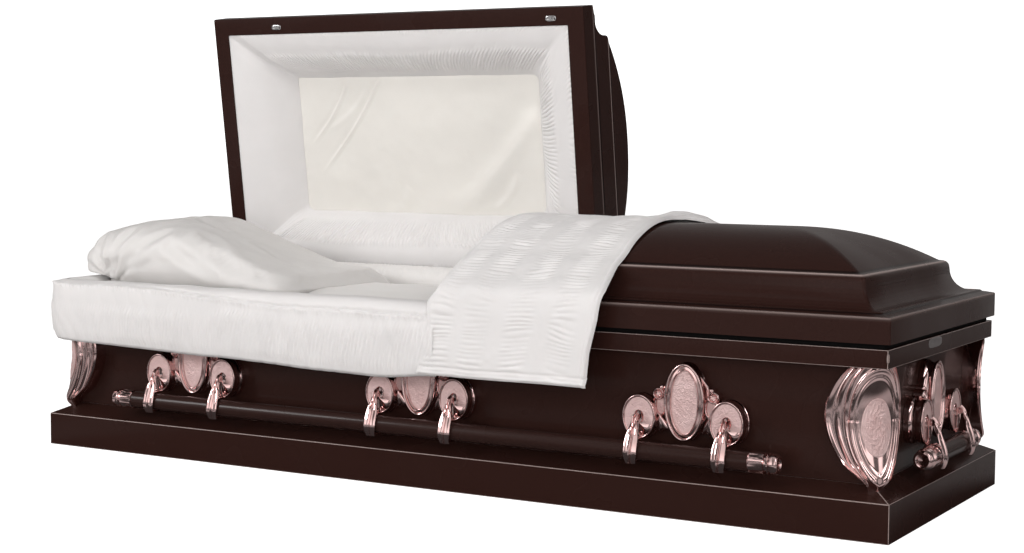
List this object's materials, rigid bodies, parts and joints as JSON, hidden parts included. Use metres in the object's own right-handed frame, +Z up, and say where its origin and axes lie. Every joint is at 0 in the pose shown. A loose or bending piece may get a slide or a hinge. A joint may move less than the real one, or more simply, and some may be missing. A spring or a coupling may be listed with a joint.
{
  "type": "funeral casket",
  "caption": "Steel funeral casket with a two-piece domed lid, half open, white lining, a throw, corner ornaments and swing-bar handles.",
  "frame": {"origin": "centre of the casket's underside, on the ground", "axes": "+X along the length towards the foot end, +Y towards the hinged back, +Z up; the viewer's side is -Y"},
  "size_m": [2.1616, 0.9043, 1.0658],
  "materials": {
    "casket_paint": "gloss metallic dark brown",
    "rose_gold": "polished rose gold plate",
    "bar_paint": "satin brown enamel",
    "white_satin": "soft satin cloth",
    "shirred_cloth": "gathered crepe cloth",
    "gasket_rubber": "matt",
    "plain_steel": "plain"
  },
  "bodies": {
    "shell": {"bottom_pan": "casket_paint", "base_moulding": "casket_paint", "side_panel_front": "casket_paint", "side_panel_back": "casket_paint", "end_panel_head": "casket_paint", "end_panel_foot": "casket_paint", "rim_moulding": "casket_paint", "gasket": "gasket_rubber", "hinge": "plain_steel", "corner_ornament_front_head": "rose_gold", "corner_ornament_front_foot": "rose_gold", "corner_ornament_back_head": "rose_gold", "corner_ornament_back_foot": "rose_gold", "handle_plate_front_head": "rose_gold", "handle_plate_front_middle": "rose_gold", "handle_plate_front_foot": "rose_gold", "handle_plate_back_head": "rose_gold", "handle_plate_back_middle": "rose_gold", "handle_plate_back_foot": "rose_gold", "handle_plate_foot_end": "rose_gold", "handle_plate_head_end": "rose_gold", "bed_frame": "plain_steel", "mattress": "white_satin", "pillow": "white_satin", "back_roll": "shirred_cloth", "extendover": "shirred_cloth"},
    "head_cap": {"head_cap_shell": "casket_paint", "head_cap_surround": "shirred_cloth", "head_cap_panel": "white_satin"},
    "foot_cap": {"foot_cap_shell": "casket_paint", "throw": "shirred_cloth"},
    "front_bar": {"front_bar": "bar_paint", "front_bar_tip_left": "rose_gold", "front_bar_tip_right": "rose_gold", "front_arm_head_left": "rose_gold", "front_arm_head_right": "rose_gold", "front_arm_middle_left": "rose_gold", "front_arm_middle_right": "rose_gold", "front_arm_foot_left": "rose_gold", "front_arm_foot_right": "rose_gold"},
    "back_bar": {"back_bar": "bar_paint", "back_bar_tip_left": "rose_gold", "back_bar_tip_right": "rose_gold", "back_arm_head_left": "rose_gold", "back_arm_head_right": "rose_gold", "back_arm_middle_left": "rose_gold", "back_arm_middle_right": "rose_gold", "back_arm_foot_left": "rose_gold", "back_arm_foot_right": "rose_gold"},
    "foot_bar": {"foot_bar": "bar_paint", "foot_bar_tip_left": "rose_gold", "foot_bar_tip_right": "rose_gold", "foot_arm_end_left": "rose_gold", "foot_arm_end_right": "rose_gold"},
    "head_bar": {"head_bar": "bar_paint", "head_bar_tip_left": "rose_gold", "head_bar_tip_right": "rose_gold", "head_arm_end_left": "rose_gold", "head_arm_end_right": "rose_gold"}
  },
  "joints": [
    {"name": "head_cap_hinge", "type": "hinge", "parent": "shell", "child": "head_cap", "pos_m": [0, 0.352, 0.365], "axis": [-1, 0, 0], "range_deg": [-82.1, 0], "deforming": ["extendover", "pillow", "back_roll"]},
    {"name": "foot_cap_hinge", "type": "hinge", "parent": "shell", "child": "foot_cap", "pos_m": [0, 0.352, 0.365], "axis": [-1, 0, 0], "range_deg": [0, 82.1]},
    {"name": "front_bar_swing", "type": "hinge", "parent": "shell", "child": "front_bar", "pos_m": [0, -0.3518, 0.195], "axis": [-1, 0, 0], "range_deg": [0, 80]},
    {"name": "back_bar_swing", "type": "hinge", "parent": "shell", "child": "back_bar", "pos_m": [0, 0.3518, 0.195], "axis": [1, 0, 0], "range_deg": [0, 80]},
    {"name": "foot_bar_swing", "type": "hinge", "parent": "shell", "child": "foot_bar", "pos_m": [1.0503, 0, 0.195], "axis": [0, -1, 0], "range_deg": [0, 80]},
    {"name": "head_bar_swing", "type": "hinge", "parent": "shell", "child": "head_bar", "pos_m": [-1.0503, 0, 0.195], "axis": [0, 1, 0], "range_deg": [0, 80]}
  ]
}
